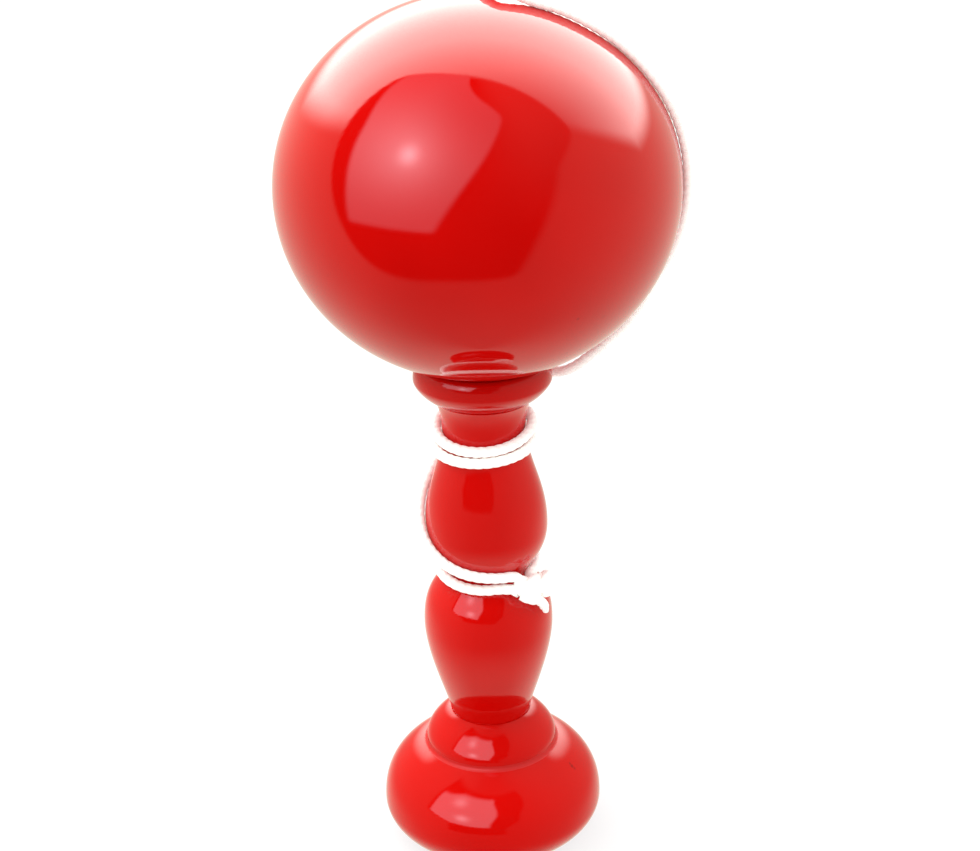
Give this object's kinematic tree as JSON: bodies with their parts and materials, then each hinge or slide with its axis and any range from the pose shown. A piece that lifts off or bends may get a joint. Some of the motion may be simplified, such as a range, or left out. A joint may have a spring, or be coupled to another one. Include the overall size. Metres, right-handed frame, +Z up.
{
  "type": "cup and ball toy",
  "caption": "Turned and lacquered cup and ball toy: a ball on a spiked small cup, a waisted handle with a catching cup as its foot, and a cotton cord that ties ball to handle.",
  "frame": {"origin": "on the ground under the axis of the handle", "axes": "+Z up along the handle's axis; the pictured front faces -Y and the cord lies on the ball's +X side"},
  "size_m": [0.0776, 0.075, 0.1756],
  "materials": {
    "red_lacquer": "turned wood under gloss red lacquer",
    "cotton_cord": "braided cotton"
  },
  "bodies": {
    "handle": {"foot_cup": "red_lacquer", "stem": "red_lacquer", "small_cup": "red_lacquer", "spike": "red_lacquer", "cord_rise": "cotton_cord", "neck_winding": "cotton_cord", "cord_drop": "cotton_cord", "waist_winding": "cotton_cord", "waist_knot": "cotton_cord"},
    "cord_end": {"stopper_knot": "cotton_cord"},
    "ball": {"ball": "red_lacquer"}
  },
  "joints": [
    {"name": "ball_lift", "type": "slide", "parent": "handle", "child": "cord_end", "axis": [0, 0, 1], "range_m": [0, 0.04], "deforming": ["cord_rise"]},
    {"name": "ball_spin", "type": "hinge", "parent": "cord_end", "child": "ball", "pos_m": [0, 0, 0.13795], "axis": [0, 0, 1], "continuous": true}
  ]
}
